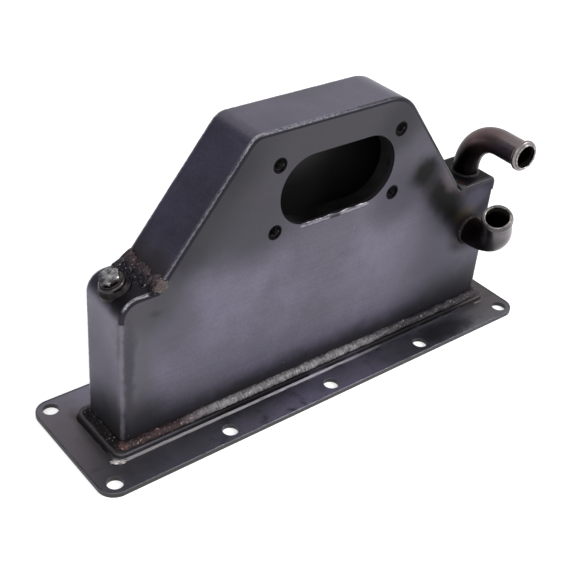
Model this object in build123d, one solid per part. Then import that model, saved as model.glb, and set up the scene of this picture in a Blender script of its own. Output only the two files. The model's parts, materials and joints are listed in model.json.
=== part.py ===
from build123d import *
from math import atan2, cos, degrees, radians, sin, sqrt
import os

# Fabricated steel oil cooler for a flange on an engine block.
# Millimetres, +Z up, +X along the length, -Y is the side with the port.
# The origin is the centre of the bolt holes, on the underside of the flange.

# Flange: one pressed sheet with a dished middle that carries the body
flange_length = 340.0
flange_width = 92.4
flange_sheet = 3.0
flange_corner_radius = 11.0
bolts_per_row = 5
bolt_end_distance = 10.0
bolt_side_distance = 8.7
bolt_hole_diameter = 10.0
dish_rise = 4.5
dish_margin = 6.3
dish_corner_radius = 6.0
dish_root_radius = 1.5
dish_lip_radius = 1.2

# Body: folded sheet, narrow from front to back
wall = 2.5
body_depth = 37.6
left_rim = 25.8
right_rim = 18.8
fold_radius = 4.5
flap_overlap = 1.5
left_shoulder_top = 107.7
left_shoulder_length = 23.2
left_shoulder_radius = 12.0
right_shoulder_top = 103.6
right_shoulder_length = 35.3
right_shoulder_radius = 4.5
hood_rise = 81.8
crown_left = -59.9
crown_right = 53.0
crown_left_radius = 12.0
crown_right_radius = 28.0
seam_radius = 2.3

# Oil port in the front: slot with four tapped holes in a thick backing plate
port_x = 4.2
port_drop = 43.6
port_length = 87.9
port_height = 45.5
port_bolt_x = 92.0
port_bolt_z = 43.2
port_thread_drill = 6.8
port_thread_chamfer = 1.0
port_plate_thickness = 10.0
port_plate_margin = 8.0
port_plate_corner_radius = 12.0

# Core: flat coolant tubes between two header plates, with folded fins
header_sheet = 2.5
tube_columns = 4
tube_thickness = 3.2
tube_wall = 0.6
tube_stand_out = 2.0
core_floor_gap = 5.0
core_roof_gap = 4.0
pass_gap = 9.0
pass_split_height = 63.5
fin_sheet = 0.5
fin_pitch = 9.0
fin_crest = 2.6
fin_end_gap = 1.5
divider_sheet = 2.0

# Hose pipes
bead_diameter = 20.6
bead_width = 3.2
bead_setback = 2.3
bead_edge_radius = 1.4
upper_pipe_diameter = 17.4
upper_pipe_bore = 15.0
upper_pipe_inset = 13.6
upper_pipe_y = -1.5
upper_pipe_lead = 4.8
upper_pipe_bend_radius = 28.2
upper_pipe_bend = 88.5
upper_pipe_tail = 22.1
upper_pipe_swing = 4.5
lower_pipe_diameter = 19.2
lower_pipe_bore = 15.6
lower_pipe_inset = 18.6
lower_pipe_z = 67.2
lower_pipe_lead = 3.7
lower_pipe_bend_radius = 27.4
lower_pipe_bend = 78.5
lower_pipe_tail = 14.0
lower_pipe_swing = 27.5
pipe_weld_leg = 2.4

# Vent: boss on the bend of the left shoulder, with a plug and its washer
boss_tilt = 22.0
boss_diameter = 15.2
boss_height = 4.6
boss_weld_leg = 2.0
vent_bore = 8.4
vent_thread_clearance = 0.1
washer_diameter = 13.0
washer_thickness = 1.0
plug_across_flats = 11.0
plug_head_height = 3.2
plug_shank_length = 9.0
plug_chamfer = 0.7

# Welds along the outside
base_weld_leg_out = 4.8
base_weld_leg_up = 3.8
foot_weld_leg = 7.5
foot_weld_crown = 0.9

# Sizes that follow from the ones above
bolt_pitch = (flange_length - 2 * bolt_end_distance) / (bolts_per_row - 1)
bolt_row_spacing = flange_width - 2 * bolt_side_distance
dish_top = flange_sheet + dish_rise
half_depth = body_depth / 2
inner_half_depth = half_depth - wall
body_left = left_rim - flange_length / 2
body_right = flange_length / 2 - right_rim
left_foot_x = body_left + left_shoulder_length
right_foot_x = body_right - right_shoulder_length
crown_top = right_shoulder_top + hood_rise
port_z = crown_top - port_drop
upper_pipe_x = body_right - upper_pipe_inset
lower_pipe_x = body_right - lower_pipe_inset
left_bend_start = left_shoulder_top - left_shoulder_radius
right_bend_start = right_shoulder_top - right_shoulder_radius
flap_top = min(left_bend_start, right_bend_start) - flap_overlap
left_slope = atan2(crown_top - left_shoulder_top, crown_left - left_foot_x)
right_slope = atan2(crown_top - right_shoulder_top, right_foot_x - crown_right)
left_header_x = left_foot_x + wall / sin(left_slope)
right_header_x = right_foot_x - wall / sin(right_slope)
left_cap_underside = left_shoulder_top - wall
right_cap_underside = right_shoulder_top - wall
core_bottom = dish_top + core_floor_gap
core_top = min(left_cap_underside, right_cap_underside) - core_roof_gap
lower_pass_top = pass_split_height - pass_gap / 2
upper_pass_bottom = pass_split_height + pass_gap / 2
fin_gap = (2 * inner_half_depth - tube_columns * tube_thickness) / (tube_columns + 1)

# Round pieces stand on the plane they are drawn on, or hang below it
standing = (Align.CENTER, Align.CENTER, Align.MIN)
hanging = (Align.CENTER, Align.CENTER, Align.MAX)


def front_plane(depth):
    """Drawing plane parallel to the front, at y = -depth; it extrudes towards the viewer."""
    return Plane.XZ.offset(depth)


def slab(face, near, far):
    """The front-view face as a solid from y = -near to y = -far."""
    return extrude(front_plane(far) * face, amount=near - far)


def block(x0, x1, y0, y1, z0, z1):
    return Pos((x0 + x1) / 2, (y0 + y1) / 2, (z0 + z1) / 2) * Box(x1 - x0, y1 - y0, z1 - z0)


def rounded_outline(points, radii):
    """Closed front-view face with its own radius at each corner, 0 where it stays sharp."""
    face = make_face(Polyline(*points, close=True))
    for (x, z), radius in zip(points, radii):
        if radius > 0:
            corner = face.vertices().sort_by_distance((x, z, 0))[0]
            face = fillet(corner, radius)
    return face


def body_profile(inset):
    """Outline of the body seen from the front, drawn in by the inset."""
    depth_below = dish_top + wall
    points = [
        (body_left, -depth_below),
        (body_left, left_shoulder_top),
        (left_foot_x, left_shoulder_top),
        (crown_left, crown_top),
        (crown_right, crown_top),
        (right_foot_x, right_shoulder_top),
        (body_right, right_shoulder_top),
        (body_right, -depth_below),
    ]
    radii = [
        0, left_shoulder_radius, 0, crown_left_radius,
        crown_right_radius, 0, right_shoulder_radius, 0,
    ]
    face = rounded_outline(points, radii)
    if inset > 0:
        face = offset(face, amount=-inset, kind=Kind.INTERSECTION)
    return face


def above(face, height):
    """The part of a front-view face that lies above a height."""
    reach = 2 * flange_length
    return face - Pos(0, height - reach / 2) * Rectangle(reach, reach)


def bent_sheet(points, radii):
    """Section of one folded sheet: its outer line, run clockwise, and the wall inside it."""
    line = FilletPolyline(*points, radius=radii)
    return make_face(offset(line, amount=wall, side=Side.RIGHT, kind=Kind.INTERSECTION))


def dish_outline(margin, radius):
    """Plan outline around the body, with the margin outside its walls."""
    length = body_right - body_left + 2 * margin
    return Pos((body_left + body_right) / 2, 0) * RectangleRounded(length, body_depth + 2 * margin, radius)


def base_flange():
    plate = extrude(RectangleRounded(flange_length, flange_width, flange_corner_radius), amount=flange_sheet)
    dome = extrude(dish_outline(dish_margin, dish_corner_radius), amount=dish_top)
    dome = fillet(dome.faces().sort_by(Axis.Z)[-1].edges(), dish_lip_radius)
    hollow_margin = dish_margin - flange_sheet
    hollow = extrude(dish_outline(hollow_margin, dish_corner_radius - dish_lip_radius), amount=dish_rise)
    part = plate + dome
    part = fillet(new_edges(plate, dome, combined=part), dish_root_radius) - hollow
    part -= block(left_header_x, right_header_x, -inner_half_depth, inner_half_depth, 0, 2 * dish_top)
    for column in range(bolts_per_row):
        for side in (-1, 1):
            x = (column - (bolts_per_row - 1) / 2) * bolt_pitch
            part -= Pos(x, side * bolt_row_spacing / 2) * Cylinder(bolt_hole_diameter / 2, 4 * flange_sheet)
    return part


def port_slot():
    return Pos(port_x, port_z) * SlotOverall(port_length, port_height)


def port_threads(depth):
    """Drilled and chamfered holes for the port studs, from the front face inwards."""
    top = front_plane(half_depth)
    holes = Part()
    for x, z in [(sx * port_bolt_x / 2, sz * port_bolt_z / 2) for sx in (-1, 1) for sz in (-1, 1)]:
        place = top * Pos(port_x + x, port_z + z)
        drill = port_thread_drill / 2
        holes += place * Pos(0, 0, -depth / 2) * Cylinder(drill, depth)
        holes += place * Pos(0, 0, -port_thread_chamfer / 2) * Cone(
            drill, drill + port_thread_chamfer, port_thread_chamfer
        )
    return holes


def front_panel():
    upper = slab(above(body_profile(wall), flap_top), inner_half_depth, half_depth)
    fold = bent_sheet([
        (body_right, inner_half_depth),
        (body_right, -half_depth),
        (body_left, -half_depth),
        (body_left, inner_half_depth),
    ], fold_radius)
    lower = Pos(0, 0, dish_top) * extrude(fold, amount=flap_top - dish_top)
    part = upper + lower
    part -= slab(port_slot(), inner_half_depth, half_depth)
    part -= port_threads(wall + port_plate_thickness)
    root = front_plane(half_depth) * Pos(lower_pipe_x, lower_pipe_z)
    return part - root * Cylinder(lower_pipe_diameter / 2, 4 * wall)


def rear_panel():
    return slab(above(body_profile(wall), dish_top), -half_depth, -inner_half_depth)


def hood_strip():
    """One strip folded over the crown, from foot to foot."""
    points = [
        (left_foot_x, left_shoulder_top),
        (crown_left, crown_top),
        (crown_right, crown_top),
        (right_foot_x, right_shoulder_top),
    ]
    run = 2 * wall
    low_left = (left_foot_x - run * cos(left_slope), left_shoulder_top - run * sin(left_slope))
    low_right = (right_foot_x + run * cos(right_slope), right_shoulder_top - run * sin(right_slope))
    face = bent_sheet([low_left, points[1], points[2], low_right], (crown_left_radius, crown_right_radius))
    reach = flange_length
    face -= Pos(-reach / 2, left_shoulder_top - reach / 2) * Rectangle(reach, reach)
    face -= Pos(reach / 2, right_shoulder_top - reach / 2) * Rectangle(reach, reach)
    return slab(face, -inner_half_depth, inner_half_depth)


def vent_axis():
    """Plane on the shoulder's bend, its normal along the tilted vent."""
    tilt = radians(boss_tilt)
    bend_x = body_left + left_shoulder_radius
    bend_z = left_shoulder_top - left_shoulder_radius
    on_bend = (bend_x - left_shoulder_radius * sin(tilt), 0, bend_z + left_shoulder_radius * cos(tilt))
    return Plane(origin=on_bend, z_dir=(-sin(tilt), 0, cos(tilt)))


def left_shoulder_cap():
    points = [(body_left, flap_top), (body_left, left_shoulder_top), (left_header_x, left_shoulder_top)]
    part = slab(bent_sheet(points, left_shoulder_radius), -inner_half_depth, inner_half_depth)
    return part - vent_axis() * Cylinder(vent_bore / 2, 6 * wall)


def right_shoulder_cap():
    points = [(right_header_x, right_shoulder_top), (body_right, right_shoulder_top), (body_right, flap_top)]
    part = slab(bent_sheet(points, right_shoulder_radius), -inner_half_depth, inner_half_depth)
    root = Pos(upper_pipe_x, upper_pipe_y, right_shoulder_top)
    return part - root * Cylinder(upper_pipe_diameter / 2, 4 * wall)


def port_plate():
    length = port_bolt_x + 2 * port_plate_margin
    height = max(port_bolt_z, port_height) + 2 * port_plate_margin
    face = Pos(port_x, port_z) * RectangleRounded(length, height, port_plate_corner_radius)
    back = inner_half_depth - port_plate_thickness
    part = slab(face, back, inner_half_depth) - slab(port_slot(), back, inner_half_depth)
    return part - port_threads(wall + port_plate_thickness)


def tube_centres():
    first = -inner_half_depth + fin_gap + tube_thickness / 2
    return [first + column * (tube_thickness + fin_gap) for column in range(tube_columns)]


def tube_section(y, bottom, top, shrink):
    """Flat oval section of one tube in its own YZ plane."""
    size = (tube_thickness - 2 * shrink, top - bottom - 2 * shrink)
    return Plane.YZ * Pos(y, (bottom + top) / 2) * SlotOverall(size[1], size[0], rotation=90)


def flat_tube(y, bottom, top):
    start = left_header_x - header_sheet - tube_stand_out
    length = right_header_x + header_sheet + tube_stand_out - start
    outer = extrude(tube_section(y, bottom, top, 0), amount=length)
    inner = extrude(tube_section(y, bottom, top, tube_wall), amount=length)
    return Pos(start, 0, 0) * (outer - inner)


def header_plate(inner_face, outer_face, top):
    part = block(
        min(inner_face, outer_face), max(inner_face, outer_face),
        -inner_half_depth, inner_half_depth, dish_top, top,
    )
    reach = flange_length
    for y in tube_centres():
        for bottom, height in ((core_bottom, lower_pass_top), (upper_pass_bottom, core_top)):
            part -= Pos(-reach / 2, 0, 0) * extrude(tube_section(y, bottom, height, 0), amount=reach)
    return part


def fin_strip(column):
    """Sheet folded into a square-shouldered wave, brazed between two tubes or a tube and a wall."""
    low = -inner_half_depth + column * (tube_thickness + fin_gap)
    high = low + fin_gap
    start = left_header_x + fin_end_gap
    folds = int((right_header_x - left_header_x - 2 * fin_end_gap) / (fin_pitch / 2))
    line = []
    for fold in range(folds):
        x = start + fold * fin_pitch / 2
        y = low if fold % 2 == 0 else high - fin_sheet
        line += [(x, y), (x + fin_crest, y)]
    back = [(x, y + fin_sheet) for x, y in reversed(line)]
    face = make_face(Polyline(*line, *back, close=True))
    return Pos(0, 0, core_bottom) * extrude(face, amount=core_top - core_bottom)


def header_divider():
    """Sloping plate that parts the coolant inlet from the outlet in the right header."""
    x0 = right_header_x + header_sheet
    x1 = body_right - wall
    z0 = pass_split_height
    z1 = right_bend_start - divider_sheet
    points = [(x0, z0), (x1, z1), (x1, z1 + divider_sheet), (x0, z0 + divider_sheet)]
    return slab(make_face(Polyline(*points, close=True)), -inner_half_depth, inner_half_depth)


def past_bend(lead, bend_radius, bend):
    """Frame at the far end of a lead along +Z and an arc towards +X."""
    return Pos(bend_radius, 0, lead) * Rot(0, bend, 0) * Pos(-bend_radius, 0, 0)


def bent_rod(radius, lead, bend_radius, bend, tail):
    """Round bar that rises along +Z, bends towards +X and runs on straight."""
    elbow_axis = Axis((bend_radius, 0, lead), (0, 1, 0))
    upright = Cylinder(radius, lead, align=standing)
    elbow = revolve(Pos(0, 0, lead) * Circle(radius), axis=elbow_axis, revolution_arc=bend)
    return upright + elbow + past_bend(lead, bend_radius, bend) * Cylinder(radius, tail, align=standing)


def hose_pipe(diameter, bore, lead, bend_radius, bend, tail):
    """Bent tube with a beaded mouth, from the inner face of the wall outwards."""
    route = (lead + wall, bend_radius, bend)
    bead = Cylinder(bead_diameter / 2, bead_width)
    bead = fillet(bead.edges(), bead_edge_radius)
    mouth = past_bend(*route) * Pos(0, 0, tail - bead_setback)
    return bent_rod(diameter / 2, *route, tail) + mouth * bead - bent_rod(bore / 2, *route, tail)


def upper_hose_pipe():
    swing = radians(upper_pipe_swing)
    root = Plane(
        origin=(upper_pipe_x, upper_pipe_y, right_cap_underside),
        x_dir=(-sin(swing), -cos(swing), 0), z_dir=(0, 0, 1),
    )
    return root * hose_pipe(
        upper_pipe_diameter, upper_pipe_bore, upper_pipe_lead,
        upper_pipe_bend_radius, upper_pipe_bend, upper_pipe_tail,
    )


def lower_hose_pipe():
    swing = radians(lower_pipe_swing)
    root = Plane(
        origin=(lower_pipe_x, -inner_half_depth, lower_pipe_z),
        x_dir=(-sin(swing), 0, cos(swing)), z_dir=(0, -1, 0),
    )
    return root * hose_pipe(
        lower_pipe_diameter, lower_pipe_bore, lower_pipe_lead,
        lower_pipe_bend_radius, lower_pipe_bend, lower_pipe_tail,
    )


def body_block():
    """The closed outer form of the body, used to cope what is welded onto it."""
    return slab(above(body_profile(0), dish_top), -half_depth, half_depth)


def ring_weld(radius, leg, depth):
    """Fillet ring round a pipe or boss that stands on a face, reaching below it by the depth."""
    section = Polyline((radius, -depth), (radius + leg, -depth), (radius + leg, 0), (radius, leg), close=True)
    return revolve(make_face(Plane.XZ * section), axis=Axis.Z)


def upper_pipe_weld():
    ring = ring_weld(upper_pipe_diameter / 2, pipe_weld_leg, wall)
    return Pos(upper_pipe_x, upper_pipe_y, right_shoulder_top) * ring - body_block()


def lower_pipe_weld():
    ring = ring_weld(lower_pipe_diameter / 2, pipe_weld_leg, wall)
    return front_plane(half_depth) * Pos(lower_pipe_x, lower_pipe_z) * ring - body_block()


def vent_boss():
    sink = left_shoulder_radius
    boss = Cylinder(boss_diameter / 2, boss_height + sink, align=hanging)
    boss = chamfer(boss.edges().sort_by(Axis.Z)[-1], plug_chamfer)
    boss = vent_axis() * Pos(0, 0, boss_height) * boss
    return boss - body_block() - vent_axis() * Cylinder(vent_bore / 2, 4 * sink)


def boss_weld():
    ring = vent_axis() * ring_weld(boss_diameter / 2, boss_weld_leg, left_shoulder_radius)
    return ring - body_block() - left_foot_weld()


def vent_washer():
    ring = Cylinder(washer_diameter / 2, washer_thickness, align=standing)
    ring -= Cylinder(vent_bore / 2, 4 * washer_thickness)
    return vent_axis() * Pos(0, 0, boss_height) * ring


def vent_plug():
    head = extrude(RegularPolygon(plug_across_flats / 2, 6, major_radius=False), amount=plug_head_height)
    crown_base = plug_across_flats / 2 + plug_head_height
    crown_tip = plug_across_flats / 2 - plug_chamfer / 2
    head &= Cone(crown_base, crown_tip, plug_head_height + plug_chamfer, align=standing)
    shank = Cylinder(vent_bore / 2 - vent_thread_clearance, plug_shank_length, align=hanging)
    shank = chamfer(shank.edges().sort_by(Axis.Z)[0], plug_chamfer)
    return vent_axis() * Pos(0, 0, boss_height + washer_thickness) * (head + shank)


def footprint():
    """Plan of the body: folded corners at the front, ground seams at the rear."""
    plan = Pos((body_left + body_right) / 2, 0) * Rectangle(body_right - body_left, body_depth)
    corners = plan.vertices().sort_by(Axis.Y)
    plan = fillet(corners[:2], fold_radius)
    return fillet(plan.vertices().sort_by(Axis.Y)[-2:], seam_radius)


def base_weld():
    """Fillet weld all round the body, on top of the dish."""
    lean = degrees(atan2(base_weld_leg_out, base_weld_leg_up))
    skirt = extrude(
        dish_outline(base_weld_leg_out, fold_radius + base_weld_leg_out),
        amount=base_weld_leg_up, taper=lean,
    )
    core = extrude(footprint(), amount=2 * base_weld_leg_up)
    return Pos(0, 0, dish_top) * (skirt - core)


def foot_weld(foot_x, foot_z, slope, side):
    """Convex fillet in the corner between a shoulder and the slope of the hood."""
    flat_end = (foot_x - side * foot_weld_leg, foot_z)
    slope_end = (foot_x + side * foot_weld_leg * cos(slope), foot_z + foot_weld_leg * sin(slope))
    mid_x = (flat_end[0] + slope_end[0]) / 2
    mid_z = (flat_end[1] + slope_end[1]) / 2
    chord = sqrt((slope_end[0] - flat_end[0]) ** 2 + (slope_end[1] - flat_end[1]) ** 2)
    across = ((slope_end[1] - flat_end[1]) / chord, (slope_end[0] - flat_end[0]) / chord)
    crown = (mid_x - side * foot_weld_crown * abs(across[0]), mid_z + foot_weld_crown * abs(across[1]))
    outline = Line(flat_end, (foot_x, foot_z)) + Line((foot_x, foot_z), slope_end)
    outline += ThreePointArc(slope_end, crown, flat_end)
    return slab(make_face(outline), -half_depth, half_depth)


def left_foot_weld():
    return foot_weld(left_foot_x, left_shoulder_top, left_slope, 1)


def right_foot_weld():
    return foot_weld(right_foot_x, right_shoulder_top, right_slope, -1)


def seam_weld(height, near, far):
    """Weld in the corner groove between a panel and the strips, ground to a radius."""
    band = slab(above(body_profile(0) - body_profile(wall), height), near, far)
    block_form = body_block()
    face = block_form.faces().sort_by(Axis.Y)[0 if far > 0 else -1]
    outline = face.edges().filter_by(lambda e: e.center().Z > dish_top + wall)
    return band & fillet(outline, seam_radius)


def front_seam_weld():
    return seam_weld(flap_top, inner_half_depth, half_depth)


def rear_seam_weld():
    return seam_weld(dish_top, -half_depth, -inner_half_depth)


parts = {
    "base_flange": base_flange(),
    "front_panel": front_panel(),
    "rear_panel": rear_panel(),
    "hood_strip": hood_strip(),
    "left_shoulder_cap": left_shoulder_cap(),
    "right_shoulder_cap": right_shoulder_cap(),
    "port_plate": port_plate(),
    "left_header_plate": header_plate(left_header_x, left_header_x - header_sheet, left_cap_underside),
    "right_header_plate": header_plate(right_header_x, right_header_x + header_sheet, right_cap_underside),
    "header_divider": header_divider(),
    "upper_hose_pipe": upper_hose_pipe(),
    "lower_hose_pipe": lower_hose_pipe(),
    "vent_boss": vent_boss(),
    "vent_washer": vent_washer(),
    "vent_plug": vent_plug(),
    "base_weld": base_weld(),
    "left_foot_weld": left_foot_weld(),
    "right_foot_weld": right_foot_weld(),
    "front_seam_weld": front_seam_weld(),
    "rear_seam_weld": rear_seam_weld(),
    "upper_pipe_weld": upper_pipe_weld(),
    "lower_pipe_weld": lower_pipe_weld(),
    "boss_weld": boss_weld(),
}
for number, y in enumerate(tube_centres(), start=1):
    parts[f"lower_tube_{number}"] = flat_tube(y, core_bottom, lower_pass_top)
    parts[f"upper_tube_{number}"] = flat_tube(y, upper_pass_bottom, core_top)
for column in range(tube_columns + 1):
    parts[f"fin_strip_{column + 1}"] = fin_strip(column)

os.makedirs("parts", exist_ok=True)
for name, part in parts.items():
    export_step(part, f"parts/{name}.step")
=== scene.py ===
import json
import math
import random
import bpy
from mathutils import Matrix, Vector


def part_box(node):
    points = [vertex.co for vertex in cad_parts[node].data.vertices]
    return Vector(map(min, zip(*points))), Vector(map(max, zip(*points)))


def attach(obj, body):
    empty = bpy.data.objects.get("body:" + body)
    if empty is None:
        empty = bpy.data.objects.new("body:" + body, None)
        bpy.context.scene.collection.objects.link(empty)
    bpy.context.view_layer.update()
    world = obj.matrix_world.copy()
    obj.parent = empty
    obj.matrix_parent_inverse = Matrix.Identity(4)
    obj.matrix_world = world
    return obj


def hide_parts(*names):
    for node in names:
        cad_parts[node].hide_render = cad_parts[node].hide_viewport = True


bl_info = {
    "name": "Fabricated Oil Cooler",
    "version": (1, 0, 0),
    "blender": (4, 5, 0),
    "location": "View3D > Sidebar > Oil Cooler",
    "description": "Steel finishes, weld beads and a soft studio for a welded sheet-steel oil cooler",
    "category": "Object",
}

import bmesh
import bpy
from mathutils import Matrix, Vector, noise

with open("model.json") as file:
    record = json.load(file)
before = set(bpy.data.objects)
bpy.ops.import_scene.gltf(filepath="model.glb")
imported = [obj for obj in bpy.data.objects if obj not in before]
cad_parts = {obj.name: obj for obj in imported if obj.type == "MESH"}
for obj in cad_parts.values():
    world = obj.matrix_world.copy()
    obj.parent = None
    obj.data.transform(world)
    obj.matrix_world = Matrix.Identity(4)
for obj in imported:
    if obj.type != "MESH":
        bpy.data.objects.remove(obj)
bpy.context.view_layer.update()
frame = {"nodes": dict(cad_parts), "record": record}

MM = 0.001
BODY = "root"

# The body's own lines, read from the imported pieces
PANEL_LOW, PANEL_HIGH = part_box("front_panel")
FLANGE_LOW, FLANGE_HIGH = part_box("base_flange")
HOOD_LOW, HOOD_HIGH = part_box("hood_strip")
LEFT, RIGHT = PANEL_LOW[0], PANEL_HIGH[0]
FRONT, REAR = PANEL_LOW[1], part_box("rear_panel")[1][1]
DISH_TOP = FLANGE_HIGH[2]
CROWN = HOOD_HIGH[2]
LEFT_FOOT, RIGHT_FOOT = HOOD_LOW[0], HOOD_HIGH[0]
LEFT_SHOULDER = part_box("left_shoulder_cap")[1][2]
RIGHT_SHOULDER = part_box("right_shoulder_cap")[1][2]

# Sizes that no box gives, in millimetres. The ends of the flat crown:
CROWN_LEFT, CROWN_RIGHT = -59.9, 53.0
# The middle of the port, its lower edge, half the length of that edge, and the radius of the port's ends:
PORT_X, PORT_Z, PORT_LOW = 4.2, 141.8, 119.05
PORT_FLAT, PORT_ROUND = 21.2, 22.75
# How far the port holes stand from the middle of the port:
STUD_X, STUD_Z = 46.0, 21.6
# The flange's sheet, and the left and front of the root of its dish:
FLANGE_SHEET = 3.0
DISH_LEFT, DISH_FRONT = -150.5, -25.1
# The outer diameters of the pipes, and how far the plug's dark flanks lie below its top:
UPPER_PIPE, LOWER_PIPE = 17.4, 19.2
PLUG_FLANK = 5.5

UP = Vector((0, 0, 1))

# Radius in millimetres to which the shading rounds sharp edges
EDGE = 0.5

# Sockets of the colour mix node, which shares its socket names between data types
MIX_A, MIX_B = 6, 7


def srgb(code):
    """Linear colour with alpha from an sRGB hex value."""
    parts = [int(code[i:i + 2], 16) / 255 for i in (1, 3, 5)]
    return tuple(c / 12.92 if c <= 0.04045 else ((c + 0.055) / 1.055) ** 2.4 for c in parts) + (1.0,)


def per_mm(size):
    """Noise scale for a pattern whose features are this many millimetres across."""
    return 1 / (size * MM)


def colour(label, code, about):
    """A colour setting, given as an sRGB hex value."""
    return bpy.props.FloatVectorProperty(
        name=label, description=about, subtype="COLOR", size=4, min=0, max=1, default=srgb(code)
    )


def length(label, millimetres, about):
    """A length setting, given in millimetres."""
    return bpy.props.FloatProperty(name=label, description=about, unit="LENGTH", default=millimetres * MM)


class CoolerSteel(bpy.types.PropertyGroup):
    """Colours of the bare steel and of what heat and grinding leave on it."""
    sheet: colour("Sheet", "#696573", "Oiled cold-rolled sheet where it shines most")
    sheet_grey: colour("Sheet, dull", "#5e5b66", "Oiled sheet where the film of oil is thin")
    flange: colour("Flange", "#706d7c", "Pressed sheet of the flange where it shines most")
    flange_grey: colour("Flange, dull", "#636267", "Pressed sheet of the flange where it is dull")
    plate: colour("Plate", "#4b4a4d", "Hot-rolled plate behind the port")
    core: colour("Core", "#5a5a5c", "Drawn tube and folded sheet of the core")
    soot: colour("Soot", "#232022", "Smoke that the welding leaves beside a joint")
    straw: colour("Straw tint", "#4a4233", "Yellow-brown temper colour")
    tube: colour("Tube", "#736a6b", "Drawn steel tube where it stayed cool")
    tube_hot: colour("Tube, hot", "#5a4647", "Brown temper colour on the tube")
    bead: colour("Weld bead", "#636163", "Weld metal, as laid")
    bead_hot: colour("Weld bead, rusty", "#33282a", "Red-brown film on the weld metal")
    ground: colour("Ground steel", "#a9a7ac", "Weld metal after the grinder")
    plug: colour("Plug", "#c4c2c2", "Bright plating on the vent plug")
    washer: colour("Washer", "#625b56", "Annealed copper washer")


class CoolerWelds(bpy.types.PropertyGroup):
    """Sizes of the weld metal."""
    base_rise: length("Base bead, up", 3.9, "Leg of the base bead on the wall")
    base_reach: length("Base bead, out", 4.7, "Leg of the base bead on the dish")
    base_pitch: length("Base ripple", 1.0, "Distance between two ripples of the base bead")
    foot_leg: length("Foot bead", 7.2, "Legs of the beads at the feet of the hood")
    pipe_leg: length("Pipe bead", 1.8, "Legs of the beads round the pipes")
    spatter: length("Spatter", 0.42, "Largest radius of a drop of spatter")


class CoolerStudio(bpy.types.PropertyGroup):
    """Camera, floor and surroundings."""
    eye: bpy.props.FloatVectorProperty(
        name="Camera", description="Place of the camera", subtype="TRANSLATION", unit="LENGTH",
        default=(-0.37935, -0.41626, 0.43787),
    )
    turn: bpy.props.FloatVectorProperty(
        name="Camera turn", description="Rotation of the camera", subtype="EULER", unit="ROTATION",
        default=[math.radians(a) for a in (55.720, -4.378, -38.390)],
    )
    lens: bpy.props.FloatProperty(
        name="Lens", description="Focal length on a 36 mm sensor", unit="CAMERA", default=67.05
    )
    floor: colour("Floor", "#ececee", "Pale studio floor")
    sky: bpy.props.FloatProperty(name="Sky", description="Strength of the soft surroundings", default=0.72)


def add(tree, kind, inputs=None, **settings):
    """Adds a shader node, named without its prefix, with its settings.

    An input is a plain value, the sRGB hex value of a colour, the socket that feeds it, or a node whose first
    enabled output feeds it."""
    node = tree.nodes.new("ShaderNode" + kind)
    for name, value in settings.items():
        setattr(node, name, value)
    for key, value in (inputs or {}).items():
        if isinstance(value, str):
            value = srgb(value)
        if isinstance(value, bpy.types.Node):
            value = next(socket for socket in value.outputs if socket.enabled)
        if isinstance(value, bpy.types.NodeSocket):
            tree.links.new(value, node.inputs[key])
        else:
            node.inputs[key].default_value = value
    return node


def new_tree(name):
    """An empty material with its node tree and the Object coordinates of what wears it."""
    material = bpy.data.materials.new(name)
    material.use_nodes = True
    tree = material.node_tree
    tree.nodes.clear()
    return material, tree, add(tree, "TexCoord").outputs["Object"]


def wobbled(tree, place, size, amount):
    """Coordinates pushed about by noise, so that patches get uneven edges; size and amount in millimetres."""
    cloud = add(tree, "TexNoise", {"Vector": place, "Scale": per_mm(size), "Detail": 3.0})
    centred = add(tree, "VectorMath", {0: cloud.outputs["Color"], 1: (0.5, 0.5, 0.5)}, operation="SUBTRACT")
    pushed = add(tree, "VectorMath", {0: centred, "Scale": amount * MM}, operation="SCALE")
    return add(tree, "VectorMath", {0: place, 1: pushed}, operation="ADD")


def stained_and_shaded(tree, place, tint, stains_and_shading):
    """Lays patches over a tint, for heat tint, soot and dirt and also for painted shade and painted
    highlights, and returns the new tint and a mask of how much each place is covered.

    A stain is (centre, reach, turn about Y, colour, strength) in millimetres and degrees: an egg-shaped
    patch that is full at its centre and gone at its reach. A strength above 1 makes its edge crisper."""
    soiled_and_shaded = None
    for centre, reach, turn, paint, strength in stains_and_shading:
        local = add(tree, "Mapping", {
            "Vector": place,
            "Location": [c * MM for c in centre],
            "Rotation": (0, math.radians(turn), 0),
            "Scale": [r * MM for r in reach],
        }, vector_type="TEXTURE")
        ball = add(tree, "TexGradient", {"Vector": local}, gradient_type="SPHERICAL")
        soft = add(tree, "MapRange", {
            "Value": ball.outputs["Fac"], "From Max": 0.75,
        }, interpolation_type="SMOOTHSTEP")
        mask = add(tree, "Math", {0: soft, 1: strength}, operation="MULTIPLY", use_clamp=True)
        tint = add(tree, "Mix", {0: mask, MIX_A: tint, MIX_B: paint}, data_type="RGBA")
        if soiled_and_shaded is None:
            soiled_and_shaded = mask
        else:
            soiled_and_shaded = add(tree, "Math", {0: soiled_and_shaded, 1: mask}, operation="MAXIMUM")
    return tint, soiled_and_shaded


def metal(material, tree, tint, dullness, pattern, strength, depth, shine=1.0, normal=None):
    """Gives a material a metal surface whose relief follows a pattern, to a depth in millimetres."""
    heights = {"Height": pattern, "Strength": strength, "Distance": depth * MM}
    if normal is not None:
        heights["Normal"] = normal
    surface = add(tree, "BsdfPrincipled", {
        "Base Color": tint, "Metallic": shine, "Roughness": dullness,
        "Normal": add(tree, "Bump", heights),
    })
    add(tree, "OutputMaterial", {"Surface": surface})
    return material


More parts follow.
